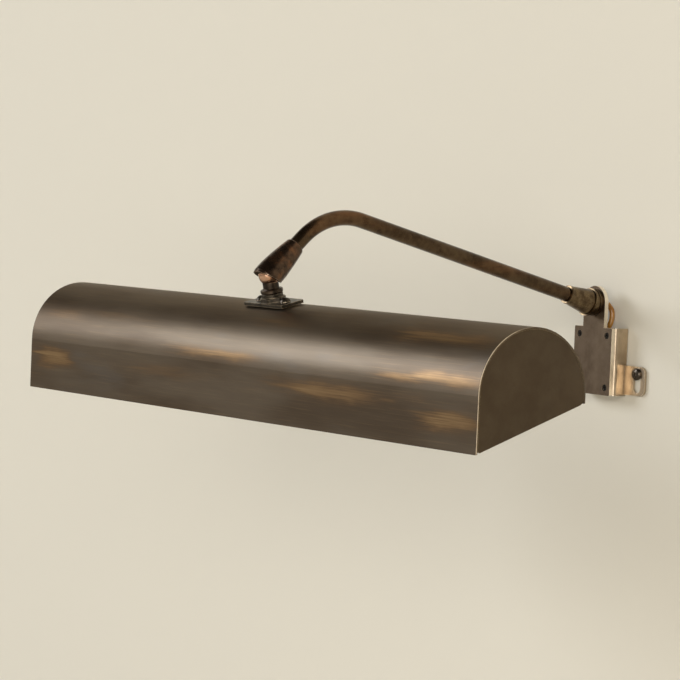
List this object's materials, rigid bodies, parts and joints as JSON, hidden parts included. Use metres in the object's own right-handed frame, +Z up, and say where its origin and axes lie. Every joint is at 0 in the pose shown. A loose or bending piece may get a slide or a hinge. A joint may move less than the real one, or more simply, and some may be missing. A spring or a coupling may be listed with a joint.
{
  "type": "picture light",
  "caption": "Wall-mounted picture light: a long brass trough shade on a slotted ball knuckle, carried by a bent tube arm from a slotted wall box.",
  "frame": {"origin": "centre of the wall box's back, on its bridge, in the wall plane", "axes": "+X to the right for a viewer facing the wall, along the shade; +Y into the wall; +Z up"},
  "size_m": [0.475, 0.3206, 0.1271],
  "materials": {
    "shade_brass": "aged brass under a dark olive-brown patina, brushed along the length",
    "arm_bronze": "dark bronze with rubbed red-brown patches",
    "knuckle_bronze": "near-black bronze, bright at worn rims",
    "ball_copper": "rubbed copper-brown brass",
    "bracket_bronze": "satin bronze",
    "box_nickel": "satin nickel with a warm cast",
    "dark_steel": "blackened",
    "zinc_steel": "zinc plated",
    "contact_brass": "bright",
    "block_plastic": "moulded",
    "seat_plastic": "moulded, low friction",
    "lead_amber": "translucent amber sheath",
    "core_plastic": "insulated cores",
    "sleeve": "heat-resistant glass sleeve",
    "reflector_sheet": "bright satin",
    "porcelain": "glazed",
    "lamp_glass": "clear tubular bulb",
    "lamp_wire": "supports and filament"
  },
  "bodies": {
    "bracket_arm": {"wall_box": "box_nickel", "arm_plate": "bracket_bronze", "plate_screws": "dark_steel", "wall_screws": "dark_steel", "terminal_block": "block_plastic", "terminal_screws": "zinc_steel", "block_screw": "zinc_steel", "earth_screw": "zinc_steel", "earth_tag": "contact_brass", "collar": "arm_bronze", "ferrule": "arm_bronze", "stud": "zinc_steel", "back_nut": "zinc_steel", "stud_bush": "block_plastic", "arm_tube": "arm_bronze", "arm_lead": "lead_amber", "lead_cores": "core_plastic", "barrel_cup": "knuckle_bronze", "barrel_cap": "knuckle_bronze", "ball_seat": "seat_plastic", "disc_springs": "zinc_steel"},
    "knuckle_stem": {"ball_stem": "ball_copper", "stem_lead": "lead_amber", "stem_nut": "zinc_steel", "stem_washer": "zinc_steel"},
    "shade": {"base_column": "knuckle_bronze", "top_plate": "knuckle_bronze", "dome_screws": "knuckle_bronze", "dome_nuts": "zinc_steel", "shade_shell": "shade_brass", "end_cap_left": "shade_brass", "end_cap_right": "shade_brass", "reflector": "reflector_sheet", "lamp_strap": "zinc_steel", "holder_nuts": "zinc_steel", "lamp_holder_left": "porcelain", "lamp_holder_right": "porcelain", "lamp_cap_left": "contact_brass", "lamp_cap_right": "contact_brass", "lamp_glass_left": "lamp_glass", "lamp_glass_right": "lamp_glass", "lamp_filament_left": "lamp_wire", "lamp_filament_right": "lamp_wire", "lamp_leads": "sleeve"}
  },
  "joints": [
    {"name": "knuckle_tilt", "type": "hinge", "parent": "bracket_arm", "child": "knuckle_stem", "pos_m": [0, -0.27412, 0.05213], "axis": [1, 0, 0], "range_deg": [-55, 30]},
    {"name": "shade_swivel", "type": "hinge", "parent": "knuckle_stem", "child": "shade", "pos_m": [0, -0.27412, 0.05213], "axis": [0, -0.2419, 0.9703], "range_deg": [-25, 25]}
  ]
}
